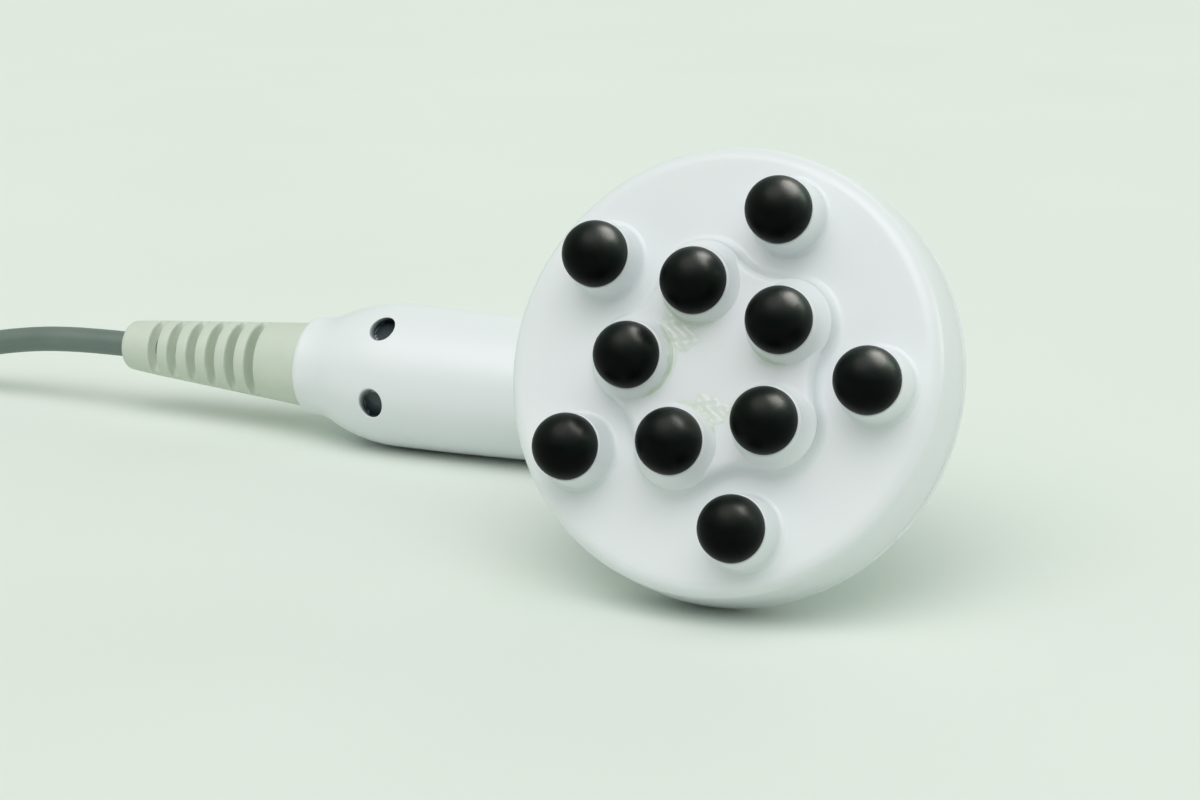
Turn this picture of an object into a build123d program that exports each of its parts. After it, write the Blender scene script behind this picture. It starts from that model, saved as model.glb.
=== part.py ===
from build123d import *
from math import asin, atan, atan2, cos, degrees, hypot, pi, radians, sin, sqrt, tan
import os

# A radio-frequency skin applicator: a round head with ten domed electrodes on a curved neck and grip,
# with a strain relief, a coiled lead and a round plug with a screw ring.
# The handpiece is drawn in the head's own frame: the front face lies at z = 0 and looks along +z, and
# the grip runs towards -x. It is then leaned over until the back rim of the head and the belly of the
# grip both touch the floor. The lead is drawn in floor coordinates, from where it leaves the relief.

# Head
head_radius = 40.0
rim_draft = 0.8
face_round = 3.5
wall = 2.2
cover_depth = 11.4
back_corner_depth = 17.0
back_corner_round = 6.0
back_drop = 6.0
socket_radius = 14.9
socket_depth = 4.0
socket_recess = 2.5
socket_floor = 3.8
lip_height = 4.0
lip_wall = 1.3
seal_height = 1.2
fit_gap = 0.05

# Electrodes and the moulded posts that carry them
ring_count = 5
outer_ring_radius = 28.5
inner_ring_radius = 14.5
dome_radius = 5.75
dome_band = 0.8
post_height = 5.8
post_top_radius = 6.0
post_base_radius = 6.4
post_foot_round = 0.7
post_foot_sink = 0.02
stud_radius = 1.5
stud_clearance = 0.1
stud_length = 15.0
island_height = 3.0
island_lobe_radius = 8.0
island_hollow_radius = 11.0
island_edge_round = 1.2
boss_radius = 3.3

# Board that joins the electrodes, and what is soldered on it
board_depth = 4.0
board_thickness = 1.6
board_edge_setback = 0.275
nut_across_flats = 5.5
nut_height = 2.4
header_length = 7.0
header_width = 10.0
header_height = 5.0
stud_to_coil = 10.0
coil_outer_radius = 5.8
coil_hole_radius = 2.4
coil_height = 4.0
capacitor_length = 3.2
capacitor_width = 7.0
capacitor_height = 6.0
capacitor_x = 3.0
capacitor_y = 21.0

# Neck and grip
neck_straight = 3.5
bend_radius = 40.0
neck_radius = 12.8
belly_place = 92.0
belly_radius = 14.5
shoulder_end = 106.0
shoulder_radius = 11.3
collar_radius = 10.0
collar_length = 1.8
collar_round = 1.5
collar_wall = 1.2
collar_depth = 8.0
end_wall = 2.4
cavity_end_radius = 9.0
neck_boss_radius = 2.4
neck_boss_place = 8.55
neck_boss_length = 9.0

# Screws
screw_core_radius = 0.9
screw_bite = 0.03
screw_hole_radius = 1.15
screw_head_radius = 2.1
screw_head_height = 1.5
grip_screw_setback = 20.5
grip_screw_spread = 7.5
screw_access_radius = 2.65
screw_seat_height = 5.0
screw_boss_wall = 1.3
grip_screw_length = 13.0
neck_screw_length = 10.0

# Lead and strain relief
cord_diameter = 5.3
relief_length = 43.4
relief_tip_radius = 5.2
relief_tip_round = 1.5
relief_flange_radius = 8.4
relief_flange_width = 2.3
relief_neck_radius = 5.4
slot_count = 6
slot_pitch = 4.8
slot_width = 2.0
slot_setback = 11.0
slot_floor = 2.0
clamp_setback = 9.0
clamp_width = 6.0
clamp_length = 17.0
clamp_height = 6.5
clamp_screw_spread = 6.0
clamp_screw_length = 12.0
rib_length = 18.0
jacket_free = 6.0
ribbon_width = 5.0
ribbon_thickness = 1.2

# Route of the lead from the strain relief: (step along x, step along y, height over the floor)
straight_out = 14.0
run_points = [
    (-30.0, 0.5, 12.5),
    (-46.0, 0.3, 8.6),
    (-61.0, -0.7, 4.6),
    (-76.0, -0.9, 2.9),
    (-91.0, 0.0, 2.65),
]
coil_entry = (-105.0, 0.0, 2.65)

# Put-away coil: half its turns spiral in on the floor, the other half spiral out on top of them
coil_turns = 6.25
coil_inner_radius = 22.0
turn_gap = 0.5
coil_sides = 8
steps_per_turn = 4
gap_steps_per_turn = 48

# Last stretch to the plug: (step along x, step along y) from the coil's end
tail_first = 8.0
tail_middle = (1.0, -17.0)
tail_last = 9.0

# Plug
boot_length = 15.0
boot_root_radius = 3.9
boot_root_round = 1.0
boot_end_radius = 6.0
shell_radius = 8.0
shell_length = 13.0
shell_back_round = 1.0
shell_front_round = 0.4
journal_radius = 7.0
ring_radius = 9.0
ring_length = 9.5
ring_wall = 1.0
ring_shoulder = 3.0
ring_play = 0.2
ring_flutes = 18
flute_radius = 0.9
flute_depth = 0.45
running_gap = 0.05
clip_radius = 7.7
clip_thickness = 0.8
clip_groove = 0.3
nose_radius = 6.6
nose_length = 7.0
nose_step = 0.2
nose_wall = 1.0
nose_floor = 1.0
key_width = 2.2
key_length = 4.0
insert_recess = 3.0
pin_radius = 0.6
pin_ring_radius = 2.9
pin_count = 4
pin_buried = 5.0
pin_free = 2.4

cord_radius = cord_diameter / 2
stud_hole_radius = stud_radius + stud_clearance
pilot_radius = screw_core_radius + screw_bite
lip_outer_radius = head_radius - wall - fit_gap
lip_inner_radius = lip_outer_radius - lip_wall
lip_top = cover_depth - lip_height
seal_top = lip_top - seal_height
back_slope = atan(back_drop / (head_radius - socket_radius))
rim_arc_depth = back_corner_depth - back_corner_round * tan((pi / 2 - back_slope) / 2)
socket_face = back_corner_depth + back_drop + socket_depth
neck_top = socket_face - socket_recess
bowl_floor = neck_top - socket_floor
bend_top = neck_top + neck_straight
grip_drop = bend_top + bend_radius
board_back = board_depth + board_thickness
board_radius = (outer_ring_radius + stud_hole_radius + lip_inner_radius) / 2 - board_edge_setback
coil_place = outer_ring_radius - stud_to_coil
collar_bore = collar_radius - collar_wall
fall = (belly_radius - shoulder_radius) / (shoulder_end - belly_place)
collar_start = shoulder_end + (shoulder_radius - collar_radius) / fall
collar_end = collar_start + collar_length
end_wall_back = collar_end - collar_depth
end_wall_place = end_wall_back - end_wall
grip_screw_place = collar_end - grip_screw_setback
clamp_place = grip_screw_place - clamp_setback
jacket_end = clamp_place - jacket_free
relief_end = collar_end + relief_length
relief_root_radius = collar_bore - 2 * fit_gap
slot_first = collar_end + slot_setback


def polar(radius, angle):
    """Point in the face plane at an angle in degrees from +x."""
    return Vector(radius * cos(radians(angle)), radius * sin(radians(angle)))


def ring_places(radius, first_angle):
    """Centres of one ring of electrodes."""
    return [polar(radius, first_angle + 360 / ring_count * i) for i in range(ring_count)]


outer_places = ring_places(outer_ring_radius, 0)
inner_places = ring_places(inner_ring_radius, 180)


def turned(corners, axis=Axis.Z):
    """Turns a closed outline in the x-z plane; each corner is x, z and a rounding radius."""
    outline = FilletPolyline(*[(x, z) for x, z, _ in corners], radius=[r for _, _, r in corners], close=True)
    return revolve(Plane.XZ * make_face(outline), axis)


def upright(radius, low, high, place=(0, 0)):
    """Round bar along z between two heights."""
    return Pos(place[0], place[1], (low + high) / 2) * Cylinder(radius, high - low)


def block(x_range, y_range, z_range):
    """Box between two corners."""
    low, high = zip(x_range, y_range, z_range)
    return Pos(*[(a + b) / 2 for a, b in zip(low, high)]) * Box(*[b - a for a, b in zip(low, high)])


# Head

def island_outline(inset):
    """Five lobes round the inner posts, joined by hollow sides that run smoothly into them."""
    lobe, hollow = island_lobe_radius - inset, island_hollow_radius + inset
    half_step = 180 / ring_count
    reach = inner_ring_radius * cos(radians(half_step))
    reach += sqrt((lobe + hollow) ** 2 - (inner_ring_radius * sin(radians(half_step))) ** 2)
    edges = []
    for i in range(ring_count):
        lobe_way, side_way = polar(1, 180 + 2 * half_step * i), polar(1, 180 + 2 * half_step * (i + 0.5))
        centre = lobe_way * inner_ring_radius
        join = centre + (side_way * reach - centre).normalized() * lobe
        before, after = (way * (2 * join.dot(way)) - join for way in (lobe_way, side_way))
        edges.append(ThreePointArc(before, centre + lobe_way * lobe, join))
        edges.append(ThreePointArc(join, side_way * (reach - hollow), after))
    return make_face(edges)


def front_cover():
    """Moulded face with rolled rim, raised island, ten posts and the bosses behind them."""
    ledge = lip_inner_radius - 3 * fit_gap
    cover = turned([
        (0, 0, 0),
        (head_radius - rim_draft, 0, face_round),
        (head_radius, -cover_depth, 0),
        (head_radius - wall, -cover_depth, 0),
        (head_radius - wall, -seal_top, 0),
        (ledge, -seal_top, 0),
        (ledge, -wall, 0),
        (0, -wall, 0),
    ])
    island = extrude(island_outline(0), island_height)
    island = fillet(island.edges().group_by(Axis.Z)[-1], island_edge_round)
    cover += island
    feet = [e for e in cover.edges() if abs(e.center().Z) < 0.01 and abs((e @ 0).Z) < 0.01]
    feet = [e for e in feet if hypot((e @ 0).X, (e @ 0).Y) < head_radius - face_round - 0.01]
    cover = fillet(feet, post_foot_round)
    post = outer_post()
    for place in outer_places:
        cover += Pos(place.X, place.Y, 0) * post
    for place in inner_places:
        cover += upright(post_top_radius, 0, post_height, (place.X, place.Y))
    cover -= Pos(0, 0, -wall) * extrude(island_outline(wall), island_height)
    for place in outer_places:
        cover += upright(boss_radius, -board_depth, -wall, (place.X, place.Y))
    for place in inner_places:
        cover += upright(boss_radius, -board_depth, island_height - wall, (place.X, place.Y))
    for place in outer_places + inner_places:
        cover -= upright(stud_hole_radius, -board_depth, post_height, (place.X, place.Y))
    return cover


def outer_post():
    """Post that widens to a hollow foot, whose toe goes a little way into the face."""
    toe_radius = post_base_radius + post_foot_round + 2 * post_foot_sink
    return turned([
        (0, -wall / 2, 0),
        (toe_radius, -wall / 2, 0),
        (toe_radius, -post_foot_sink, 0),
        (post_base_radius, -post_foot_sink, post_foot_round),
        (post_top_radius, post_height, 0),
        (0, post_height, 0),
    ])


def back_shell():
    """Bowl behind the face, with a locating lip at the rim and a socket for the neck."""
    skin = wall / cos(back_slope)
    rise = tan(back_slope)
    corner = back_corner_depth + rise * (head_radius - lip_inner_radius) - skin
    meet = head_radius - (bowl_floor + skin - back_corner_depth) / rise
    shell = turned([
        (head_radius, -cover_depth, 0),
        (head_radius, -back_corner_depth, back_corner_round),
        (socket_radius, -back_corner_depth - back_drop, wall),
        (socket_radius, -socket_face, 0),
        (neck_radius + fit_gap, -socket_face, 0),
        (neck_radius + fit_gap, -neck_top, 0),
        (neck_radius / 2, -neck_top, 0),
        (neck_radius / 2, -bowl_floor, 0),
        (meet, -bowl_floor, 0),
        (lip_inner_radius, -corner, 0),
        (lip_inner_radius, -lip_top, 0),
        (lip_outer_radius, -lip_top, 0),
        (lip_outer_radius, -cover_depth, 0),
    ])
    for place in neck_screw_places():
        shell -= upright(screw_hole_radius, -neck_top, -bowl_floor, place)
    return shell


def rim_seal():
    """Square ring of silicone squeezed between the lip and the cover's ledge."""
    return upright(lip_outer_radius, -lip_top, -seal_top) - upright(lip_inner_radius, -lip_top, -seal_top)


def electrode(place):
    """Domed cap with a short band and the threaded stud under it."""
    half_ball = Sphere(dome_radius, arc_size1=0, align=(Align.CENTER, Align.CENTER, Align.MIN))
    dome = Pos(place.X, place.Y, post_height + dome_band) * half_ball
    band = upright(dome_radius, post_height, post_height + dome_band, (place.X, place.Y))
    return dome + band + upright(stud_radius, post_height - stud_length, post_height, (place.X, place.Y))


def nut(place):
    """Hexagon nut that pulls an electrode and the board against the post's boss."""
    hexagon = RegularPolygon(nut_across_flats / 2, 6, major_radius=False)
    ring = hexagon - Circle(stud_radius + fit_gap)
    return Pos(place.X, place.Y, -board_back - nut_height) * extrude(ring, nut_height)


def circuit_board():
    """Round board that the ten studs pass through."""
    board = upright(board_radius, -board_back, -board_depth)
    for place in outer_places + inner_places:
        board -= upright(stud_hole_radius, -board_back, -board_depth, (place.X, place.Y))
    return board


def board_header():
    """Block that the flat lead plugs into, at the middle of the board."""
    half_length, half_width = header_length / 2, header_width / 2
    return block((-half_length, half_length), (-half_width, half_width),
                 (-board_back - header_height, -board_back))


def matching_coil():
    """Wound ring core, stuck to the board."""
    low = -board_back - coil_height
    place = (coil_place, 0)
    core, hole = (upright(r, low, -board_back, place) for r in (coil_outer_radius, coil_hole_radius))
    return core - hole


def capacitors():
    """Two film capacitors, one on each side of the header."""
    return [block((capacitor_x - capacitor_length / 2, capacitor_x + capacitor_length / 2),
                  (side * capacitor_y - capacitor_width / 2, side * capacitor_y + capacitor_width / 2),
                  (-board_back - capacitor_height, -board_back)) for side in (-1, 1)]


# Neck and grip

def neck_screw_places():
    """Four screws round the neck's end."""
    return [(p.X, p.Y) for p in (polar(neck_boss_place, 45 + 90 * i) for i in range(4))]


def grip_axis():
    return Axis((0, 0, -grip_drop), (1, 0, 0))


def grip_skin():
    """Outer line of the grip from the neck to the collar's mouth, as edges in the x-z plane."""
    points = [(-bend_radius, neck_radius), (-belly_place, belly_radius), (-shoulder_end, shoulder_radius),
              (-collar_start, collar_radius), (-collar_end + collar_round, collar_radius),
              (-collar_end, collar_bore + fit_gap)]
    points = [(x, r - grip_drop) for x, r in points]
    return [
        TangentArc(points[1], points[0], tangent=(1, 0)),
        TangentArc(points[1], points[2], tangent=(-1, 0)),
        TangentArc(points[3], points[2], tangent=(1, 0)),
        Line(points[3], points[4]),
        TangentArc(points[4], points[5], tangent=(-1, 0)),
    ]


def grip_turned(edges, inner):
    """Turns the grip's outer line, closed along the given inner points (x, radius)."""
    start, end = (-bend_radius, neck_radius - grip_drop), (-collar_end, collar_bore + fit_gap - grip_drop)
    line = Polyline(end, *[(x, r - grip_drop) for x, r in inner], start)
    return revolve(Plane.XZ * make_face(edges + [line]), grip_axis())


def grip_solid():
    return grip_turned(grip_skin(), [(-collar_end, 0), (-bend_radius, 0)])


def handle_shell():
    """Whole hollow neck and grip, before it is parted."""
    inner_radius = neck_radius - wall
    cavity_radius = belly_radius - wall
    grip = grip_turned(grip_skin(), [
        (-collar_end, collar_bore), (-end_wall_back, collar_bore),
        (-end_wall_back, relief_neck_radius + fit_gap), (-end_wall_place, relief_neck_radius + fit_gap),
        (-end_wall_place, cavity_end_radius), (-belly_place, cavity_radius), (-bend_radius, inner_radius),
    ])
    pipe = Circle(neck_radius) - Circle(inner_radius)
    bend = revolve(Pos(0, 0, -bend_top) * pipe, Axis((-bend_radius, 0, -bend_top), (0, 1, 0)), 90)
    neck = Pos(0, 0, -bend_top) * extrude(pipe, bend_top - neck_top)
    return grip + bend + neck


def parting_block():
    """Everything on the finger side of the line that the two handle halves meet on."""
    far, high = 2 * collar_end, 0
    edges = [
        Line((-far, -grip_drop), (-bend_radius, -grip_drop)),
        TangentArc((-bend_radius, -grip_drop), (0, -bend_top), tangent=(1, 0)),
        Polyline((0, -bend_top), (0, high), (-far, high), (-far, -grip_drop)),
    ]
    return extrude(Plane.XZ * make_face(edges), 2 * belly_radius, both=True)


def grip_screw_places():
    return [(-grip_screw_place, side * grip_screw_spread) for side in (-1, 1)]


def finger_half(shell):
    """Half on the finger side, with the two screw wells that open on the face side."""
    seat = screw_seat_height - grip_drop
    half = shell & parting_block()
    solid = grip_solid()
    for place in grip_screw_places():
        boss = upright(screw_access_radius + screw_boss_wall, -grip_drop, -grip_drop + belly_radius, place)
        half += boss & solid
        half -= upright(screw_access_radius, seat, -grip_drop + 2 * belly_radius, place)
        half -= upright(screw_hole_radius, -grip_drop, seat, place)
    return half + neck_bosses(-1)


def outer_half(shell):
    """Half on the outside of the bend, with the screw bosses and the rib under the lead's clamp."""
    half = shell - parting_block()
    solid = grip_solid()
    half_rib, half_width = rib_length / 2, clamp_width / 2
    rib_top = -grip_drop - cord_radius - fit_gap
    half += block((-clamp_place - half_width, -clamp_place + half_width), (-half_rib, half_rib),
                  (-grip_drop - belly_radius, rib_top)) & solid
    for place in clamp_screw_places():
        half -= upright(pilot_radius, rib_top + clamp_height - clamp_screw_length - fit_gap, rib_top, place)
    for place in grip_screw_places():
        low = screw_seat_height - grip_drop - grip_screw_length - fit_gap
        half += upright(pilot_radius + screw_boss_wall, -grip_drop - belly_radius, -grip_drop, place) & solid
        half -= upright(pilot_radius, low, -grip_drop, place)
    return half + neck_bosses(1)


def neck_bosses(side):
    """Screw bosses inside the neck's end, on one side of the parting line."""
    bosses = [upright(neck_boss_radius, -neck_top - neck_boss_length, -neck_top, place)
              - upright(pilot_radius, -neck_top - neck_boss_length, -neck_top, place)
              for place in neck_screw_places() if place[0] * side > 0]
    return Part() + bosses


def clamp_screw_places():
    return [(-clamp_place, side * clamp_screw_spread) for side in (-1, 1)]


def screw(seat, length, place):
    """Pan-head screw whose head rests on a seat that looks along +z."""
    return upright(screw_core_radius, seat - length, seat, place) + upright(
        screw_head_radius, seat, seat + screw_head_height, place)


def cable_clamp():
    """Saddle over the lead's jacket, screwed down on the rib."""
    bottom = -grip_drop - cord_radius - fit_gap
    saddle = block((-clamp_place - clamp_width / 2, -clamp_place + clamp_width / 2),
                   (-clamp_length / 2, clamp_length / 2), (bottom, bottom + clamp_height))
    groove = cord_radius + fit_gap
    far, near = clamp_place + clamp_width, clamp_place - clamp_width
    saddle -= along_grip(groove, far, near)
    saddle -= block((-far, -near), (-groove, groove), (bottom, -grip_drop))
    for place in clamp_screw_places():
        saddle -= upright(screw_hole_radius, bottom, bottom + clamp_height, place)
    return saddle


def along_grip(radius, far, near):
    """Round bar on the grip's axis between two distances from the head's centre."""
    return Pos(-(far + near) / 2, 0, -grip_drop) * Rot(0, 90, 0) * Cylinder(radius, far - near)


def strain_relief():
    """Soft sleeve held by a groove in the grip's end, slotted from both sides so that it can bend."""
    groove_front, groove_back = end_wall_place - fit_gap, end_wall_back + fit_gap
    bore = cord_radius + fit_gap
    sleeve = turned([(-x, r - grip_drop, rounding) for x, r, rounding in [
        (groove_front - relief_flange_width, bore, 0),
        (groove_front - relief_flange_width, relief_flange_radius, 0),
        (groove_front, relief_flange_radius, 0),
        (groove_front, relief_neck_radius, 0),
        (groove_back, relief_neck_radius, 0),
        (groove_back, relief_root_radius, 0),
        (collar_end, relief_root_radius, 0),
        (relief_end, relief_tip_radius, relief_tip_round),
        (relief_end, bore, 0),
    ]], grip_axis())
    for i in range(slot_count):
        middle = -slot_first - slot_pitch * i
        for low, high in ((slot_floor, relief_root_radius), (-relief_root_radius, -slot_floor)):
            sleeve -= block((middle - slot_width / 2, middle + slot_width / 2),
                            (-relief_root_radius, relief_root_radius), (low - grip_drop, high - grip_drop))
    return sleeve


def flat_lead():
    """Flat wires from the end of the lead's jacket, round the neck, up to the header."""
    section = Rectangle(ribbon_thickness, ribbon_width)
    bend = revolve(Pos(0, 0, -bend_top) * section, Axis((-bend_radius, 0, -bend_top), (0, 1, 0)), 90)
    riser = Pos(0, 0, -bend_top) * extrude(section, bend_top - board_back - header_height)
    half, thin = ribbon_width / 2, ribbon_thickness / 2
    run = block((-jacket_end, -bend_radius), (-half, half), (-grip_drop - thin, -grip_drop + thin))
    return run + bend + riser


# Lead outside the handpiece, in floor coordinates

def widest_radii(points):
    """Bend radius at each corner: 0.45 of the shorter run over the tangent of half the turn."""
    radii = []
    for before, corner, after in zip(points, points[1:], points[2:]):
        first, second = corner - before, after - corner
        half_turn = radians(first.get_angle(second)) / 2
        radii.append(0.45 * min(first.length, second.length) / tan(half_turn))
    return radii


def cord_tube(name, points):
    """Round cord along straight runs joined by tangent arcs."""
    radii = widest_radii(points)
    path = FilletPolyline(*points, radius=radii)
    tube = sweep(Plane(path @ 0, z_dir=path % 0) * Circle(cord_radius), path)
    expected = pi * cord_radius**2 * path.length
    print(f"{name}: length {path.length:.1f}, radii {[round(r) for r in radii]},",
          f"volume over section times length {tube.volume / expected:.4f}")
    return tube, path.length


def coil_point(turn, start):
    """Point on the coil's middle line after a number of turns; the layers meet half way."""
    middle = (coil_turns - 0.25) / 2
    pitch = cord_diameter + turn_gap
    radius = coil_inner_radius + pitch * abs(turn - middle)
    climb = min(max(2 * (turn - middle) + 0.5, 0), 1)
    height = pitch * climb * climb * (3 - 2 * climb)
    outer = coil_inner_radius + pitch * middle
    angle = pi / 2 + 2 * pi * turn
    return start + Vector(radius * cos(angle), radius * sin(angle) - outer, height)


def coil_way(turn, start):
    """Direction of the coil's middle line, level at its two ends."""
    near = 1e-4
    way = coil_point(turn + near, start) - coil_point(turn - near, start)
    return way.normalized()


def biarc(start, start_way, end, end_way):
    """Two arcs that leave one point and reach another in given directions."""
    chord, ways = end - start, start_way + end_way
    spread = 2 * (1 - start_way.dot(end_way))
    slide = (-chord.dot(ways) + sqrt(chord.dot(ways) ** 2 + spread * chord.dot(chord))) / spread
    joint = (start + end + (start_way - end_way) * slide) * 0.5
    first = TangentArc(start, joint, tangent=start_way)
    return [first, TangentArc(joint, end, tangent=first % 1)]


def least_gap(points):
    """Smallest distance between stretches of the coil that lie over half a turn apart, less the cord."""
    apart = gap_steps_per_turn // 2
    return min((a - b).length for i, a in enumerate(points) for b in points[i + apart:]) - cord_diameter


def cord_coil(start):
    """Faceted cord wound in two layers, with a short straight piece at each end."""
    count = round(coil_turns * steps_per_turn)
    turns = [coil_turns * i / count for i in range(count + 1)]
    points = [coil_point(t, start) for t in turns]
    ways = [coil_way(t, start) for t in turns]
    ways[0], ways[-1] = Vector(-1, 0, 0), Vector(0, -1, 0)
    edges = [Line(points[0] - ways[0] * cord_diameter, points[0])]
    for i in range(count):
        edges += biarc(points[i], ways[i], points[i + 1], ways[i + 1])
    end = points[-1] + ways[-1] * cord_diameter
    edges.append(Line(points[-1], end))
    path = Wire([e.edge() for e in edges])
    flats = RegularPolygon(cord_radius, coil_sides, major_radius=False, rotation=180 / coil_sides)
    section = Plane(path @ 0, x_dir=(0, 1, 0), z_dir=path % 0) * flats
    coil = sweep(section, path)
    last = round(coil_turns * gap_steps_per_turn)
    samples = [coil_point(i / gap_steps_per_turn, start) for i in range(last + 1)]
    print(f"coil: length {path.length:.1f}, least gap {least_gap(samples):.2f},",
          f"volume over section times length {coil.volume / (flats.area * path.length):.4f}")
    return coil, end, path.length


# Plug, drawn along its own axis from the boot's root, then laid on the floor

shell_start = boot_length
ring_start = boot_length + shell_length + ring_play
clip_start = ring_start + ring_shoulder + ring_play
journal_end = clip_start + clip_thickness + clip_groove
nose_start = ring_start + ring_length
nose_end = nose_start + nose_length
insert_face = nose_end - insert_recess
insert_root = journal_end + nose_floor


def plug_boot():
    """Rubber boot that the lead goes into."""
    return turned([
        (0, 0, 0),
        (boot_root_radius, 0, boot_root_round),
        (boot_end_radius, boot_length, 0),
        (0, boot_length, 0),
    ])


def plug_shell():
    """Turned metal body: grip barrel, journal for the ring, groove for its clip, and the hollow nose."""
    groove_radius = journal_radius - clip_groove
    relieved = nose_radius - nose_step
    shell = turned([
        (0, shell_start, 0),
        (shell_radius, shell_start, shell_back_round),
        (shell_radius, ring_start - ring_play, shell_front_round),
        (journal_radius, ring_start - ring_play, 0),
        (journal_radius, clip_start, 0),
        (groove_radius, clip_start, 0),
        (groove_radius, clip_start + clip_thickness, 0),
        (journal_radius, clip_start + clip_thickness, 0),
        (journal_radius, journal_end, 0),
        (relieved, journal_end, 0),
        (relieved, nose_start, 0),
        (nose_radius, nose_start, 0),
        (nose_radius, nose_end, 0),
        (nose_radius - nose_wall, nose_end, 0),
        (nose_radius - nose_wall, insert_root, 0),
        (0, insert_root, 0),
    ])
    half_key = key_width / 2
    notch = block((0, nose_radius + nose_wall), (-half_key, half_key), (nose_end - key_length, nose_end))
    return shell - notch


def retaining_clip():
    """Open spring clip in the groove, which keeps the ring on."""
    inner = journal_radius - clip_groove + fit_gap
    clip = upright(clip_radius, clip_start, clip_start + clip_thickness - fit_gap)
    clip -= upright(inner, clip_start, clip_start + clip_thickness)
    return clip - block((0, clip_radius), (-key_width, key_width), (clip_start, clip_start + clip_thickness))


def pin_places():
    return [polar(pin_ring_radius, 45 + 360 / pin_count * i) for i in range(pin_count)]


def plug_insert():
    """Insulating disc that carries the pins."""
    insert = upright(nose_radius - nose_wall - fit_gap, insert_root, insert_face)
    for place in pin_places():
        insert -= upright(pin_radius + fit_gap, insert_face - pin_buried, insert_face, (place.X, place.Y))
    return insert


def plug_pins():
    low, high = insert_face - pin_buried, insert_face + pin_free
    return [upright(pin_radius, low, high, (p.X, p.Y)) for p in pin_places()]


def coupling_ring():
    """Fluted nut that turns freely on the journal, held between the barrel and the clip."""
    ring = turned([
        (journal_radius + running_gap, ring_start, 0),
        (ring_radius, ring_start, 0),
        (ring_radius, ring_start + ring_length, 0),
        (ring_radius - ring_wall, ring_start + ring_length, 0),
        (ring_radius - ring_wall, ring_start + ring_shoulder, 0),
        (journal_radius + running_gap, ring_start + ring_shoulder, 0),
    ])
    reach = ring_radius + flute_radius - flute_depth
    for i in range(ring_flutes):
        place = polar(reach, 360 / ring_flutes * i)
        ring -= upright(flute_radius, ring_start, ring_start + ring_length, (place.X, place.Y))
    return ring


# Rest pose

def face_lean():
    """Angle of the face's normal over the floor when rim and belly both touch it."""
    rim_circle = head_radius - back_corner_round
    level = grip_drop - rim_arc_depth
    return asin((back_corner_round - belly_radius) / hypot(level, rim_circle)) + atan2(rim_circle, level)


def build_handpiece():
    shell = handle_shell()
    neck_seat = -bowl_floor
    grip_seat = screw_seat_height - grip_drop
    clamp_seat = clamp_height - grip_drop - cord_radius - fit_gap
    return {
        "front_cover": [front_cover()],
        "back_shell": [back_shell()],
        "rim_seal": [rim_seal()],
        "electrodes_outer": [electrode(p) for p in outer_places],
        "electrodes_inner": [electrode(p) for p in inner_places],
        "electrode_nuts": [nut(p) for p in outer_places + inner_places],
        "circuit_board": [circuit_board()],
        "board_header": [board_header()],
        "matching_coil": [matching_coil()],
        "film_capacitors": capacitors(),
        "flat_lead": [flat_lead()],
        "grip_finger_half": [finger_half(shell)],
        "grip_outer_half": [outer_half(shell)],
        "grip_screws": [screw(grip_seat, grip_screw_length, p) for p in grip_screw_places()],
        "neck_screws": [screw(neck_seat, neck_screw_length, p) for p in neck_screw_places()],
        "cable_clamp": [cable_clamp()],
        "clamp_screws": [screw(clamp_seat, clamp_screw_length, p) for p in clamp_screw_places()],
        "strain_relief": [strain_relief()],
        "cord_inner": [along_grip(cord_radius, relief_end, jacket_end)],
    }


def build_plug():
    return {
        "plug_boot": [plug_boot()],
        "plug_shell": [plug_shell()],
        "retaining_clip": [retaining_clip()],
        "plug_insert": [plug_insert()],
        "plug_pins": plug_pins(),
        "coupling_ring": [coupling_ring()],
    }


def main():
    nodes = {}
    lean = Rot(90 - degrees(face_lean()), 0, 0)
    handpiece = {name: [lean * s for s in solids] for name, solids in build_handpiece().items()}
    box = Compound([s for solids in handpiece.values() for s in solids]).bounding_box()
    centred = Pos(-box.center().X, -box.center().Y, grip_drop * sin(face_lean()) + belly_radius)
    for name, solids in handpiece.items():
        nodes[name] = [centred * s for s in solids]

    exit_point = (centred * lean * Pos(-relief_end, 0, -grip_drop)).position
    floor_under_exit = Vector(exit_point.X, exit_point.Y, 0)
    route = [exit_point, exit_point - Vector(straight_out, 0, 0)]
    route += [floor_under_exit + Vector(*step) for step in run_points + [coil_entry]]
    run, run_length = cord_tube("cord run", route)
    coil, coil_end, coil_length = cord_coil(route[-1] - Vector(cord_diameter, 0, 0))
    plug_height = ring_radius
    turn = coil_end + Vector(0, -tail_first, 0)
    middle = Vector(coil_end.X + tail_middle[0], coil_end.Y + tail_middle[1], plug_height)
    last = middle - Vector(0, tail_last, 0)
    tail, tail_length = cord_tube("cord tail", [coil_end, turn, middle, last])
    nodes |= {"cord_run": [run], "cord_coil": [coil], "cord_tail": [tail]}
    laid = Pos(last.X, last.Y, last.Z) * Rot(90, 0, 0)
    for name, solids in build_plug().items():
        nodes[name] = [laid * s for s in solids]

    os.makedirs("parts", exist_ok=True)
    for name, solids in nodes.items():
        export_step(Compound([solid for s in solids for solid in s.solids()]), f"parts/{name}.step")
    print(f"lean {degrees(face_lean()):.2f}, lead outside {run_length + coil_length + tail_length:.0f}")
    print("lead leaves the relief at", exit_point, "coil starts at", route[-1], "ends at", coil_end)
    print("plug axis from", last, "nose middle", (laid * Pos(0, 0, (nose_start + nose_end) / 2)).position)
    print("handpiece box", box.size, "face centre", centred.position + (lean * Pos(0, 0, 0)).position)


main()
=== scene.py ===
import math
import bmesh
import bpy
import numpy as np
from mathutils import Matrix


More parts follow.
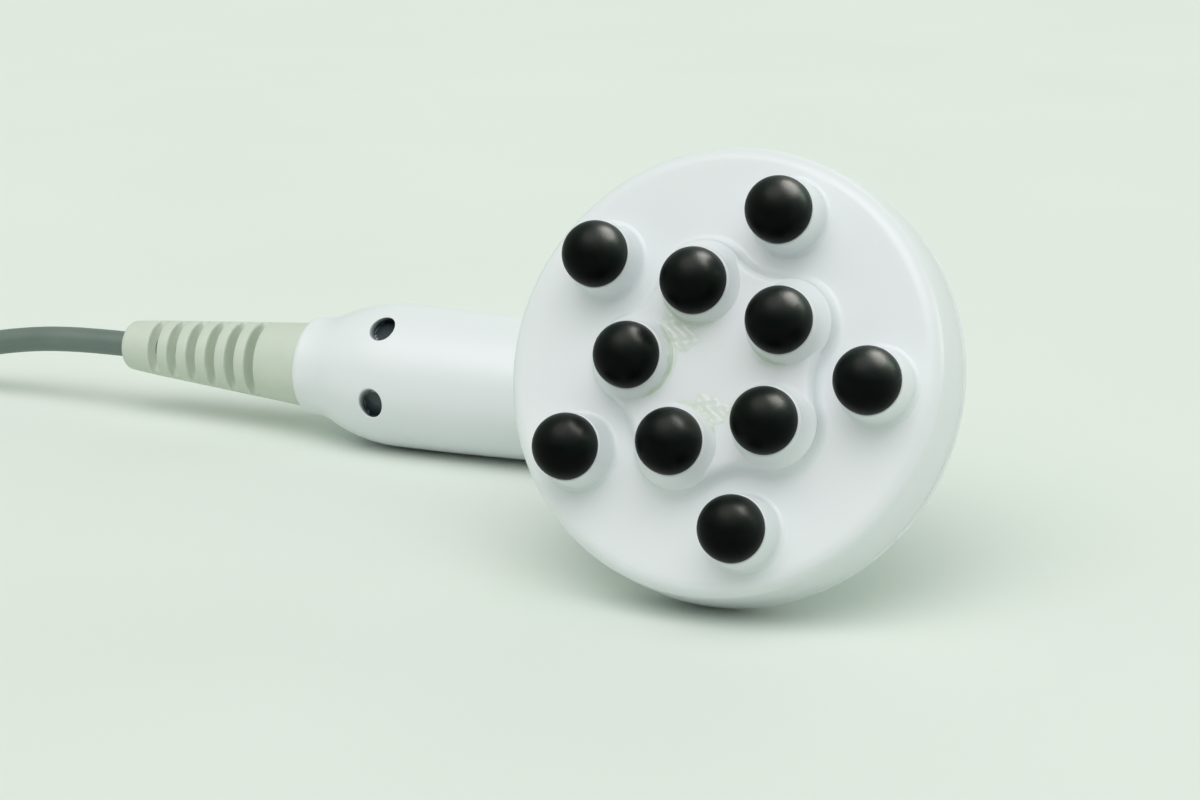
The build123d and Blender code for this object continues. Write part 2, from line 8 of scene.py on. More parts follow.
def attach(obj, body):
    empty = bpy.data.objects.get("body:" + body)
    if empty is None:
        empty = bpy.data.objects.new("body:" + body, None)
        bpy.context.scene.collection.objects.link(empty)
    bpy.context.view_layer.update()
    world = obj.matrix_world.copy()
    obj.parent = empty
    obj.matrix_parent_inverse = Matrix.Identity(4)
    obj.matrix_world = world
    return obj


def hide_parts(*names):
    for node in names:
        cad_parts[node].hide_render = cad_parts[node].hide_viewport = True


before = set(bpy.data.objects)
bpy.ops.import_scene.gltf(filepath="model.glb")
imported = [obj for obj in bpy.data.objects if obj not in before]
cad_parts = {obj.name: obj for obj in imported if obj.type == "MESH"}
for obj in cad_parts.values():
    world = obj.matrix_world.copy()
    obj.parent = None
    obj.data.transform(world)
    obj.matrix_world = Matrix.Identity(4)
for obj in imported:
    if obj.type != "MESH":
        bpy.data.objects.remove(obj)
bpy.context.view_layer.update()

# Camera: it stands a good half metre in front of the head and a little above the table, as for a close
# product shot. The head's three axes are given as they look in the picture: the face leans up and turns
# to the left, and the grip runs off behind it.
mm = 0.001
lean = math.radians(23.904)
face_centre = np.array((58.444, -26.950, 42.054)) * mm
head_axes = np.array((
    (1, 0, 0),
    (0, math.sin(lean), math.cos(lean)),
    (0, -math.cos(lean), math.sin(lean)),
)).T
axes_in_picture = np.array((
    (0.9174, -0.1040, 0.3841),
    (0.1513, 0.9839, -0.0950),
    (-0.3681, 0.1453, 0.9184),
)).T
face_in_picture = np.array((20.19, 5.28, -510.08)) * mm
turn_to_row = head_axes @ axes_in_picture.T
camera_place = face_centre - turn_to_row @ face_in_picture


def new_object(name, data):
    """Object in the scene's own collection."""
    made = bpy.data.objects.new(name, data)
    bpy.context.scene.collection.objects.link(made)
    return made


camera_data = bpy.data.cameras.new("camera")
camera_data.sensor_width = 36
camera_data.lens = 90
camera = new_object("camera", camera_data)
placed = Matrix(turn_to_row.tolist()).to_4x4()
placed.translation = camera_place.tolist()
camera.matrix_world = placed
bpy.context.scene.camera = camera


# Studio: a plain pale cloth-covered table under a surround of soft glows, as from large diffusers. Two are
# high over the table on the camera's side, a small bright one is low at the far right, and broad weak ones
# stand on three sides.
def linear(hex_colour):
    """sRGB hex to linear: each channel c becomes c/12.92 when dark, else ((c + 0.055)/1.055)^2.4."""
    channels = [int(hex_colour[i:i + 2], 16) / 255 for i in (1, 3, 5)]
    return [c / 12.92 if c <= 0.04045 else ((c + 0.055) / 1.055) ** 2.4 for c in channels] + [1.0]


def add(owner, kind, output, sockets=None, **settings):
    """Adds one shader node and gives its named output. A socket takes a number, a hex colour or another
    node's output."""
    made = owner.node_tree.nodes.new("ShaderNode" + kind)
    for name, value in settings.items():
        setattr(made, name, value)
    for name, value in (sockets or {}).items():
        if isinstance(value, bpy.types.NodeSocket):
            owner.node_tree.links.new(value, made.inputs[name])
        else:
            made.inputs[name].default_value = linear(value) if isinstance(value, str) else value
    return made.outputs[output] if output is not None else made


def new_material(name):
    """Empty node tree, and the object's own coordinates in metres."""
    material = bpy.data.materials.new(name)
    material.use_nodes = True
    material.node_tree.nodes.clear()
    return material, add(material, "TexCoord", "Object")


def finish_material(material, shader):
    """Links the shader to the output."""
    add(material, "OutputMaterial", None, {"Surface": shader})
    return material


def clouded_finish(name, first, second, grain, gloss, detail=3.0, skin=(None, 0, 0.2, 0.03), more=None):
    """Finish of an even material: two close colours in clouds of a given grain in mm, one roughness or two
    between which it follows the clouds, and a faint bump. The skin is the bump's own grain in mm and its
    detail, or None where the clouds make it, then its strength and its depth in mm."""
    material, place = new_material(name)
    cloud = add(material, "TexNoise", "Fac", {"Vector": place, "Scale": 1 / (grain * mm), "Detail": detail})
    tint = add(material, "Mix", 2, {"Factor": cloud, "A": first, "B": second}, data_type="RGBA")
    if isinstance(gloss, tuple):
        low, high = gloss
        gloss = add(material, "MapRange", "Result", {"Value": cloud, "To Min": low, "To Max": high})
    size, detail, strength, depth = skin
    if size:
        size = 1 / (size * mm)
        cloud = add(material, "TexNoise", "Fac", {"Vector": place, "Scale": size, "Detail": detail})
    depth *= mm
    normal = add(material, "Bump", "Normal", {"Height": cloud, "Strength": strength, "Distance": depth})
    return finish_material(material, add(material, "BsdfPrincipled", "BSDF", {
        "Base Color": tint, "Roughness": gloss, "Normal": normal, **(more or {})}))


# The cloth is a cotton sheet: pale mint and almost matt, with a fine weave and faint broad clouds.
table_cloth = clouded_finish("cotton_table_cloth", "#DBE4DC", "#E0E8E1", 110, 0.9, 2.0,
                             (0.8, 1.0, 0.08, 0.1), {"Specular IOR Level": 0.2})
table_half = 4.0
table_mesh = bpy.data.meshes.new("table")
table_corners = [(x, y, 0) for x, y in ((-1, -1), (1, -1), (1, 1), (-1, 1))]
table_mesh.from_pydata((np.array(table_corners) * table_half).tolist(), [], [(0, 1, 2, 3)])
table_mesh.materials.append(table_cloth)
table = new_object("table", table_mesh)


def glow(way, sharpness, strength, colour):
    """Soft patch of the surround: its light falls off as exp(sharpness (cos a - 1)) at an angle a from its
    middle."""
    way = (np.array(way) / np.linalg.norm(way)).tolist()
    cosine = add(world, "VectorMath", "Value", {0: seen_way, 1: way}, operation="DOT_PRODUCT")
    power = add(world, "Math", "Value", {0: cosine, 1: sharpness, 2: -sharpness}, operation="MULTIPLY_ADD")
    fall = add(world, "Math", "Value", {0: power}, operation="EXPONENT")
    level = add(world, "Math", "Value", {0: fall, 1: strength}, operation="MULTIPLY")
    return add(world, "VectorMath", "Vector", {0: linear(colour)[:3], "Scale": level}, operation="SCALE")


world = bpy.data.worlds.new("surround")
world.use_nodes = True
bpy.context.scene.world = world
seen_way = add(world, "TexCoord", "Generated")
light = add(world, "CombineXYZ", "Vector")
for patch_of_light in (
    glow((-0.11, -0.55, 0.83), 12, 3.22, "#FFF8F9"),
    glow((0.35, -0.35, 0.87), 12, 2.46, "#FEFEFF"),
    glow((0.82, 0.53, 0.19), 30, 3.4, "#FFEEEF"),
    glow((-0.95, 0.0, 0.3), 5, 0.86, "#EAFFEE"),
    glow((0.95, 0.0, 0.3), 5, 0.42, "#DEFFE8"),
    glow((0.0, 0.95, 0.3), 5, 1.12, "#F3FFF5"),
):
    light = add(world, "VectorMath", "Vector", {0: light, 1: patch_of_light}, operation="ADD")
world.node_tree.links.new(light, world.node_tree.nodes["Background"].inputs["Color"])
bpy.context.scene.view_settings.view_transform = "Standard"


# Lead: a round grey PVC cable of 5.3 mm, about 1.36 m long outside the handpiece. It drops from the strain
# relief to the table, runs off to the left and is put away in a two-layer coil beside its plug.
cord_diameter = 5.3 * mm
relief_mouth = np.array((-98.444, 35.217, 14.5)) * mm
lead_steps = np.array((
    (0.0, 0.0, 14.5),
    (-14.0, 0.0, 14.5),
    (-30.0, 0.5, 12.5),
    (-46.0, 0.3, 8.6),
    (-61.0, -0.7, 4.6),
    (-76.0, -0.9, 2.9),
    (-91.0, 0.0, 2.65),
    (-105.0, 0.0, 2.65),
)) * mm
coil_turns = 6.25
coil_middle_turn = (coil_turns - 0.25) / 2
coil_pitch = 5.8 * mm
coil_inner_radius = 22.0 * mm
coil_outer_radius = coil_inner_radius + coil_pitch * coil_middle_turn
coil_points_per_turn = 16
tail_steps = np.array((
    (0.0, -8.0, 8.45),
    (1.0, -17.0, 9.0),
    (1.0, -26.0, 9.0),
)) * mm


def on_circle(angle, radius=1.0):
    """Flat points (r cos a, r sin a)."""
    return np.stack((radius * np.cos(angle), radius * np.sin(angle)), axis=-1)


def ring_at(angle, radius, height, place=(0, 0)):
    """The same points about a place, each at its height."""
    flat = on_circle(angle, radius) + place
    return np.concatenate((flat, np.broadcast_to(height, flat.shape[:-1])[..., None]), axis=-1)


def coil_points(start):
    """Spiral on the table: the radius shrinks by one pitch a turn to the inner radius, the line climbs one
    layer in half a turn by the smooth step c c (3 - 2 c), and the radius grows again."""
    turn = np.linspace(0, coil_turns, round(coil_turns * coil_points_per_turn) + 1)
    radius = coil_inner_radius + coil_pitch * np.abs(turn - coil_middle_turn)
    climb = np.clip(2 * (turn - coil_middle_turn) + 0.5, 0, 1)
    height = start[2] + coil_pitch * climb * climb * (3 - 2 * climb)
    angle = math.pi / 2 + 2 * math.pi * turn
    return ring_at(angle, radius, height, (start[0], start[1] - coil_outer_radius))


def use_on_nodes(material, *names):
    """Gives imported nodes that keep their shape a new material."""
    for name in names:
        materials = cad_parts[name].data.materials
        materials.clear()
        materials.append(material)


under_mouth = relief_mouth * (1, 1, 0)
lead_out = under_mouth + lead_steps
turns_line = coil_points(lead_out[-1] - (cord_diameter, 0, 0))
coil_end = turns_line[-1] - (0, cord_diameter, 0)
tail = coil_end * (1, 1, 0) + tail_steps
lead_line = np.concatenate((lead_out, turns_line, coil_end[None], tail))
lead_curve = bpy.data.curves.new("lead", "CURVE")
lead_curve.dimensions = "3D"
lead_curve.bevel_depth = cord_diameter / 2
lead_curve.bevel_resolution = 6
lead_curve.resolution_u = 6
lead_curve.use_fill_caps = True
spline = lead_curve.splines.new("NURBS")
spline.points.add(len(lead_line) - 1)
spline.points.foreach_set("co", np.c_[lead_line, np.ones(len(lead_line))].ravel())
spline.order_u = 3
spline.use_endpoint_u = True
# Extruded PVC is mid grey and satin, with a fine skin and a little dust.
pvc_jacket = clouded_finish("extruded_pvc_jacket", "#607069", "#6E7E76", 6, (0.3, 0.55), 4.0,
                            (0.5, 2.0, 0.15, 0.05), {"IOR": 1.53})
lead_curve.materials.append(pvc_jacket)
lead = new_object("lead", lead_curve)
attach(lead, "applicator")
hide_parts("cord_run", "cord_coil", "cord_tail")
use_on_nodes(pvc_jacket, "cord_inner")


# Front cover: one moulding of white ABS with a rolled rim, a raised island of five lobes and ten posts that
# the electrodes stand on. The outer posts are plain, and the inner ones flow into the island's side.
rim_radius = 39.0
rim_round = 2.7
seam_radius = 39.75
wall = 2.2
cover_depth = 11.4
seam_width = 0.12
seam_round = 0.3
island_height = 3.0
island_top_round, island_foot_round, island_draft = 1.5, 1.3, 10
lobe_radius = 8.0
hollow_radius = 11.0
inner_ring = 14.5
outer_ring = 28.5
post_height = 5.8
post_top_radius = 6.0
post_base_radius = 6.4
post_foot_round = 0.8
post_top_round = 0.25
post_top_step = 1.5
flare_round, flare_first, flare_last = 5.1, 231, 187
flare_centre = (post_top_radius + flare_round + 0.05, post_height + 0.37)
merge_gap, least_edge = 0.002 * mm, 0.001 * mm


def on_head(points):
    """Millimetres in the head's own axes to metres on the table."""
    return (np.asarray(points) * mm) @ head_axes.T + face_centre


def mesh_piece(name, grids, material, replaced=(), laid=on_head, body="applicator"):
    """Puts the points and quads of one or more grids into one smooth mesh, merges what meets and turns the
    faces outwards."""
    points, quads = grids if isinstance(grids, tuple) else joined(grids)
    mesh = bpy.data.meshes.new(name)
    mesh.from_pydata(laid(points).tolist(), [], quads.tolist())
    work = bmesh.new()
    work.from_mesh(mesh)
    bmesh.ops.remove_doubles(work, verts=work.verts, dist=merge_gap)
    bmesh.ops.dissolve_degenerate(work, edges=work.edges, dist=least_edge)
    bmesh.ops.recalc_face_normals(work, faces=work.faces)
    work.to_mesh(mesh)
    work.free()
    mesh.shade_smooth()
    mesh.materials.append(material)
    piece = new_object(name, mesh)
    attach(piece, body)
    if replaced:
        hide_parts(*replaced)
    return piece


def patch(grid, start=0):
    """Points and quads of a grid of rows, where each row closes on itself."""
    rows, columns = grid.shape[:2]
    index = start + np.arange(rows * columns).reshape(rows, columns)
    index = np.concatenate((index, index[:, :1]), axis=1)
    quads = np.stack((index[:-1, :-1], index[1:, :-1], index[1:, 1:], index[:-1, 1:]), axis=-1)
    return grid.reshape(-1, 3), quads.reshape(-1, 4)


def joined(grids):
    """Several grids as one set of points and quads."""
    points, quads, start = [], [], 0
    for grid in grids:
        p, q = patch(grid, start)
        points.append(p)
        quads.append(q)
        start += len(p)
    return np.concatenate(points), np.concatenate(quads)


def arc(centre, radius, first, last, steps):
    """Points of a circular arc in a profile, between two angles in degrees."""
    return centre + on_circle(np.radians(np.linspace(first, last, steps)), radius)


def whole_turn(columns):
    """Even angles round a whole turn."""
    return np.linspace(0, 2 * math.pi, columns, endpoint=False)


def turned(columns, *profile, place=(0, 0)):
    """Revolves a profile, given in parts of (radius, height) rows, about an upright axis."""
    radius, height = np.concatenate(profile).T[:, :, None]
    return ring_at(whole_turn(columns), radius, height, place)


def island_line(angle):
    """Outline of the island at polar angles: point and outward way. Lobes are circles round the inner
    posts, and hollows are circles outside that touch two lobes each."""
    step = math.pi / 5
    folded = np.abs((angle - math.pi + step) % (2 * step) - step)
    side = np.sign((angle - math.pi + step) % (2 * step) - step)
    reach = inner_ring * math.cos(step)
    reach += math.sqrt((lobe_radius + hollow_radius) ** 2 - (inner_ring * math.sin(step)) ** 2)
    lobe = np.array((inner_ring, 0))
    hollow = on_circle(step, reach)
    join = lobe + (hollow - lobe) * lobe_radius / (lobe_radius + hollow_radius)
    on_lobe = folded < math.atan2(join[1], join[0])
    turn = np.where(on_lobe, folded, step - folded)
    lobe_reach = inner_ring * np.cos(turn)
    lobe_reach += np.sqrt(np.maximum(lobe_radius ** 2 - (inner_ring * np.sin(turn)) ** 2, 0))
    hollow_reach = reach * np.cos(turn)
    hollow_reach -= np.sqrt(np.maximum(hollow_radius ** 2 - (reach * np.sin(turn)) ** 2, 0))
    radius = np.where(on_lobe, lobe_reach, hollow_reach)
    here = on_circle(folded, radius)
    way = np.where(on_lobe[:, None], (here - lobe) / lobe_radius, (hollow - here) / hollow_radius)
    base = angle - folded * side
    turned_way = on_circle(base, way[:, 0]) + on_circle(base + math.pi / 2, side * way[:, 1])
    return on_circle(angle, radius), turned_way


def island_side():
    """Profile across the island's edge, as (distance out, height): rounded top, drafted side, soft foot."""
    slope = math.radians(island_draft)
    top = arc((-island_top_round, island_height - island_top_round), island_top_round, 90, island_draft, 9)
    drop = island_height - (island_top_round + island_foot_round) * (1 - math.sin(slope))
    foot_out = top[-1, 0] + drop * math.tan(slope) + island_foot_round * math.cos(slope)
    foot = arc((foot_out, island_foot_round), island_foot_round, 180 + island_draft, 270, 9)
    return np.concatenate((top, foot))


def face_skin(columns=720):
    """Rows from the middle over the island, its side, the flat, the rolled rim and the drafted side, down
    to the seam, then back inside to the middle, so that the skin closes."""
    angle = whole_turn(columns)
    line, way = island_line(angle)
    side = island_side()
    first, last = line + side[0, 0] * way, line + side[-1, 0] * way
    rim_start = on_circle(angle, rim_radius - rim_round)
    rows = [np.c_[first * share, np.full(columns, island_height)] for share in np.linspace(0, 1, 18)[:-1]]
    rows += [np.c_[line + out * way, np.full(columns, height)] for out, height in side]
    rows += [np.c_[last + (rim_start - last) * share, 0 * angle] for share in np.linspace(0, 1, 12)[1:-1]]
    rim = arc((rim_radius - rim_round, -rim_round), rim_round, 90, 0, 17)
    edge = -cover_depth + seam_width
    down = arc((seam_radius - seam_round, edge + seam_round), seam_round, 0, -90, 5)
    inner = ((seam_radius - wall, edge), (seam_radius - wall, -wall), (0, -wall))
    rows += [ring_at(angle, radius, height) for radius, height in np.concatenate((rim, down, inner))]
    return np.stack(rows)


def post_top():
    """Rounded upper edge of a post, and its top as far as it goes in under the dome."""
    top = arc((post_top_radius - post_top_round, post_height - post_top_round), post_top_round, 0, 90, 5)
    return np.concatenate((top, ((post_top_radius - post_top_step, post_height), (0, post_height))))


def outer_post_skin(place):
    """Turned profile: hollow foot, tapered wall, rounded upper edge and top, closed below the face."""
    foot = arc((post_base_radius + post_foot_round, post_foot_round), post_foot_round, 270, 180, 12)
    below = ((0, -wall / 2), (foot[0, 0], -wall / 2))
    return turned(96, below, foot, post_top(), place=place)


def inner_post_skin(place):
    """Turned profile of a post that widens downwards in one hollow arc until it is inside the island."""
    flare = arc(flare_centre, flare_round, flare_first, flare_last, 22)
    return turned(96, ((0, flare[0, 1]),), flare, post_top()[1:], place=place)


def ring_places(radius, first):
    """Five places round the head's middle, the first at an angle in degrees."""
    return on_circle(np.radians(first + 72 * np.arange(5)), radius)


def white_abs():
    """Moulded ABS: cool white, satin, with a faint orange-peel skin and slow changes of gloss where hands
    have polished it. Down the screw wells, where a mesh marks a depth, it is darkened: painted shade."""
    material, place = new_material("moulded_white_abs")
    cloud = add(material, "TexNoise", "Fac", {"Vector": place, "Scale": 1 / (30 * mm)})
    tint = add(material, "Mix", 2, {"Factor": cloud, "A": "#E2E8EA", "B": "#E4EAEB"}, data_type="RGBA")
    # Painted shade: down the screw wells the white is mixed towards a dark grey-blue.
    well_shade = add(material, "Attribute", "Fac", attribute_name="painted_well_shade")
    tint = add(material, "Mix", 2, {"Factor": well_shade, "A": tint, "B": "#2E383D"}, data_type="RGBA")
    handling = add(material, "TexNoise", "Fac", {"Vector": place, "Scale": 1 / (18 * mm)})
    gloss = add(material, "MapRange", "Result", {"Value": handling, "To Min": 0.29, "To Max": 0.34})
    peel = add(material, "TexNoise", "Fac", {"Vector": place, "Scale": 1 / (1.6 * mm)})
    normal = add(material, "Bump", "Normal", {"Height": peel, "Strength": 0.04, "Distance": 0.05 * mm})
    return finish_material(material, add(material, "BsdfPrincipled", "BSDF", {
        "Base Color": tint, "Roughness": gloss, "IOR": 1.53, "Normal": normal}))


outer_places = ring_places(outer_ring, 0)
inner_places = ring_places(inner_ring, 180)
abs_white = white_abs()
mesh_piece("cover_skin", [face_skin()], abs_white, ("front_cover",))
posts = [outer_post_skin(p) for p in outer_places] + [inner_post_skin(p) for p in inner_places]
mesh_piece("electrode_posts", posts, abs_white)


# Glue: the inner electrodes are sealed with a clear adhesive that has dried as uneven beads round their
# posts and as two thin wrinkled films on the island. It was put on by hand, so no two beads are alike.
bead_spans = ((0, -70, 60), (1, 20, 100), (2, 130, 200), (3, 220, 280), (4, 200, 300))
bead_width, bead_height = 0.75, 1.5
film_patches = ((-7.5, 5.5, 4.0), (0.5, -8.0, 3.2))


def glue_bead(place, first, last, seed):
    """Loop of six points carried round a post: the bead lies on the post's hollow flare, x - sqrt(r^2 -
    (z - h)^2), and thins out over the island. Its size waves by two sines and dies away at both ends."""
    share = np.linspace(0, 1, 90)[:, None]
    angle = np.radians(first + (last - first) * share)
    fade = np.sqrt(np.clip(np.sin(math.pi * share), 0, 1))
    wave = fade * (0.8 + 0.14 * np.sin(9 * share + seed) + 0.06 * np.sin(31 * share + 2 * seed))
    out = np.array((-0.1, 0.3, 0.75, 1.0, 1.3, 0.0))
    up = np.array((1.0, 0.82, 0.5, 0.2, -0.05, -0.3))
    height = island_height + bead_height * wave * up
    flare = np.sqrt(flare_round ** 2 - (flare_centre[1] - height) ** 2)
    radius = flare_centre[0] - flare + bead_width * wave * out
    return ring_at(angle, radius, height, place)


def glue_film(x, y, size, seed):
    """Disc whose outline waves and whose surface wrinkles by crossed sines, thin as paint."""
    share = np.linspace(0, 1, 26)[:, None]
    angle = whole_turn(120)[None]
    reach = size * (1 + 0.16 * np.sin(3 * angle + seed) + 0.09 * np.sin(7 * angle - seed))
    across, along = share * reach * np.cos(angle), share * reach * np.sin(angle)
    wrinkle = np.sin(2.3 * across + seed + 1.4 * np.sin(1.9 * along)) * np.sin(2.9 * along + 1.1 * across)
    top = island_height + (0.07 + 0.07 * wrinkle) * np.clip(6 * (1 - share), 0, 1)
    crown = np.stack((x + across, y + along, top), axis=-1)
    foot = crown[-1:] - (0, 0, 0.1)
    middle = np.broadcast_to(foot.mean(axis=1, keepdims=True), foot.shape)
    return np.concatenate((crown, foot, middle))


def clear_glue():
    """Dried clear adhesive: it lets through nearly all light, with a faint green-grey cast, and small
    ripples in its glassy skin catch the light."""
    material, place = new_material("dried_clear_glue")
    cast = add(material, "TexNoise", "Fac", {"Vector": place, "Scale": 1 / (2.5 * mm)})
    tint = add(material, "Mix", 2, {"Factor": cast, "A": "#F0F3ED", "B": "#FAFBF9"}, data_type="RGBA")
    ripple = add(material, "TexNoise", "Fac", {"Vector": place, "Scale": 1 / (0.9 * mm), "Detail": 3.0})
    normal = add(material, "Bump", "Normal", {"Height": ripple, "Strength": 0.5, "Distance": 0.2 * mm})
    body = add(material, "BsdfTransparent", "BSDF", {"Color": tint})
    skin = add(material, "BsdfAnisotropic", "BSDF", {
        "Color": "#444444", "Roughness": 0.14, "Normal": normal})
    return finish_material(material, add(material, "AddShader", "Shader", {0: body, 1: skin}))


beads = [glue_bead(inner_places[i], first, last, i + 1.3) for i, first, last in bead_spans]
films = [glue_film(x, y, size, 2.1 * x) for x, y, size in film_patches]
mesh_piece("seal_glue", beads + films, clear_glue())


# Electrodes: ten turned domes with a black conductive coating, each on a short band. They stand on the
# posts, and a threaded stud and nut behind the face hold each one.
dome_radius = 5.75
dome_band = 0.8
dome_gap = 0.05
dome_foot_round = 0.2


def dome_skin(place):
    """Half ball over a band, with a small rounding at the band's foot, closed a hair above the post."""
    crown = arc((0, post_height + dome_band), dome_radius, 90, 0, 33)
    low = post_height + dome_gap
    foot = arc((dome_radius - dome_foot_round, low + dome_foot_round), dome_foot_round, 0, -90, 5)
    return turned(96, crown, foot, ((0, low),), place=place)


def black_coating():
    """Black coating on turned and lapped metal: satin, with fine lines from lapping drawn four times as
    coarse as they are, so that they show, and dull spots where it has been wiped."""
    material, place = new_material("black_electrode_coating")
    wear = add(material, "TexNoise", "Fac", {"Vector": place, "Scale": 1 / (2.5 * mm), "Detail": 5.0})
    tint = add(material, "Mix", 2, {"Factor": wear, "A": "#020504", "B": "#060908"}, data_type="RGBA")
    gloss = add(material, "MapRange", "Result", {"Value": wear, "To Min": 0.3, "To Max": 0.44})
    along = add(material, "Mapping", "Vector", {
        "Vector": place, "Rotation": (0.5, 0.3, 0.4), "Scale": (1.0, 0.06, 1.0)})
    lines = add(material, "TexNoise", "Fac", {"Vector": along, "Scale": 1 / (0.3 * mm), "Detail": 3.0})
    normal = add(material, "Bump", "Normal", {"Height": lines, "Strength": 0.3, "Distance": 0.05 * mm})
    return finish_material(material, add(material, "BsdfPrincipled", "BSDF", {
        "Base Color": tint, "Roughness": gloss, "IOR": 1.3, "Specular IOR Level": 0.1, "Normal": normal}))


def glint_lamp(name, way, distance, size, power, colour):
    """Area lamp at a distance from the head along a way, turned towards it. Only the domes take its light,
    and only they shade it."""
    data = bpy.data.lights.new(name, "AREA")
    data.shape, data.energy, data.color = "ELLIPSE", power, linear(colour)[:3]
    data.size, data.size_y = size
    lamp = new_object(name, data)
    way = np.array(way) / np.linalg.norm(way)
    lamp.location = (face_centre + distance * way).tolist()
    lamp.rotation_euler = (math.acos(way[2]), 0, math.atan2(way[0], -way[1]))
    lamp.light_linking.receiver_collection = domes
    lamp.light_linking.blocker_collection = domes


coating = black_coating()
domes = bpy.data.collections.new("domes")
for name, places, node in (("outer_domes", outer_places, "electrodes_outer"),
                           ("inner_domes", inner_places, "electrodes_inner")):
    skins = [dome_skin(p) for p in places]
    domes.objects.link(mesh_piece(name, skins, coating, (node,)))
glint_lamp("window_glint", (0.36, 0.4, 0.84), 0.6, (0.56, 0.4), 37.0, "#FFFBF4")
glint_lamp("ceiling_glint", (-0.15, -0.25, 0.95), 0.6, (0.5, 0.5), 5.2, "#FFFAF2")
glint_lamp("wall_glint", (0.6, 0.54, 0.47), 0.6, (0.16, 0.3), 4.2, "#CDEBD3")


# Inside the head: a square silicone ring squeezed between cover and bowl, a round board that the studs pass
# through with a nut on each, and on the board a header, a wound core, two film capacitors and a flat lead.
bands_repeat = 0.314


def ribbon_lead():
    """Flat ribbon lead: grey PVC over stranded wires 1.27 mm apart, seen as soft ridges along it, with the
    grooves between them painted darker as shade. The bands of a wave texture repeat after 0.314 over its
    scale."""
    material, place = new_material("ribbon_lead_pvc")
    ridges = add(material, "TexWave", "Fac", {"Vector": place, "Scale": bands_repeat / (1.27 * mm)},
                 bands_direction="Y")
    # Painted shade: the colour follows the ridges and is darker in the grooves.
    tint = add(material, "Mix", 2, {"Factor": ridges, "A": "#8B8C8E", "B": "#9C9D9F"}, data_type="RGBA")
    normal = add(material, "Bump", "Normal", {"Height": ridges, "Strength": 0.5, "Distance": 0.2 * mm})
    return finish_material(material, add(material, "BsdfPrincipled", "BSDF", {
        "Base Color": tint, "Roughness": 0.45, "Normal": normal}))


metal = {"Metallic": 1.0}
for name, first, second, grain, gloss, more, node in (
    ("moulded_silicone_ring", "#9C9F9D", "#A5A8A6", 2.0, (0.52, 0.68), {}, "rim_seal"),
    ("turned_brass", "#C09A55", "#CBA863", 0.8, (0.22, 0.38), metal, "electrode_nuts"),
    ("solder_mask_on_glass_board", "#0E4A2B", "#155536", 1.0, (0.32, 0.48), {}, "circuit_board"),
    ("wound_ferrite_core", "#2A2726", "#34302E", 0.6, (0.62, 0.78), {}, "matching_coil"),
    ("dipped_film_capacitor", "#9E2A1A", "#AC3524", 1.5, (0.22, 0.38), {}, "film_capacitors"),
):
    use_on_nodes(clouded_finish(name, first, second, grain, gloss, more=more), node)
black_nylon = clouded_finish("moulded_black_nylon", "#101010", "#191919", 0.7, (0.42, 0.58))
use_on_nodes(black_nylon, "board_header", "cable_clamp")
use_on_nodes(ribbon_lead(), "flat_lead")


# Back shell: a shallow bowl of the same ABS behind the face. It meets the cover at a fine seam, closes over
# a rounded corner to a flat cone, and its socket takes the neck.
back_corner_depth = 17.0
back_corner_round = 6.0
back_drop = 6.0
cone_edge_radius = 40.0
socket_radius = 14.9
socket_face = 27.0
socket_recess = 2.5
socket_foot_round = 2.2
socket_mouth_round = 0.5
neck_radius = 12.8
socket_bore = neck_radius + 0.02
floor_at_middle, floor_at_side = 4.5, 8.5


def back_skin():
    """Revolved profile: seam edge, side, corner arc, cone, fillet to the socket, socket face, and back
    inside to close."""
    slope = math.atan(back_drop / (cone_edge_radius - socket_radius))
    turn = math.pi / 2 - slope
    corner_start = -back_corner_depth + back_corner_round * math.tan(turn / 2)
    tilt = math.degrees(slope)
    corner = arc((seam_radius - back_corner_round, corner_start), back_corner_round, 0, tilt - 90, 17)
    cone_end = -back_corner_depth - back_drop - socket_foot_round * math.tan(turn / 2)
    fillet = arc((socket_radius + socket_foot_round, cone_end), socket_foot_round, 90 + tilt, 180, 9)
    edge = -cover_depth - seam_width
    seam = arc((seam_radius - seam_round, edge - seam_round), seam_round, 90, 0, 5)
    mouth_centre = (socket_radius - socket_mouth_round, -socket_face + socket_mouth_round)
    mouth = arc(mouth_centre, socket_mouth_round, 0, -90, 5)
    seat = -socket_face + socket_recess
    inner = ((socket_bore, -socket_face), (socket_bore, seat), (0, seat), (0, seat + floor_at_middle),
             (seam_radius - 3 * wall, seat + floor_at_side), (seam_radius - wall, edge))
    return turned(256, seam, corner, fillet, mouth, inner, seam[:1])


mesh_piece("back_bowl", [back_skin()], abs_white, ("back_shell",))


# Neck and grip: two halves of the same ABS, parted along the sides and round the bend. The half towards the
# fingers has two deep wells for the screws that pull it to the other half, and both end in a collar.
grip_drop = 68.0
bend_radius = 40.0
neck_top, neck_step = 24.5, 2.0
belly_place, belly_radius = 92.0, 14.5
shoulder_end, shoulder_radius = 106.0, 11.3
collar_radius, collar_length, collar_round, mouth_radius = 10.0, 1.8, 1.5, 8.85
collar_start = shoulder_end + (shoulder_radius - collar_radius) * (shoulder_end - belly_place) / (
    belly_radius - shoulder_radius)
collar_end = collar_start + collar_length
parting_dip, parting_width = 0.22, 0.3
well_place, well_spread, well_radius, well_rim = collar_end - 20.5, 7.5, 2.6, 0.25
well_half_length, well_first, well_last = 5.2, 13.0, 57.0
field_start, field_end = well_place - well_half_length, well_place + well_half_length
field_rows = 19
seat_height = 5.0
screw_hole_radius, screw_hole_depth = 1.15, 2.0
# Depth down a screw well at which the painted shade is darkest.
well_shade_depth = 2.2


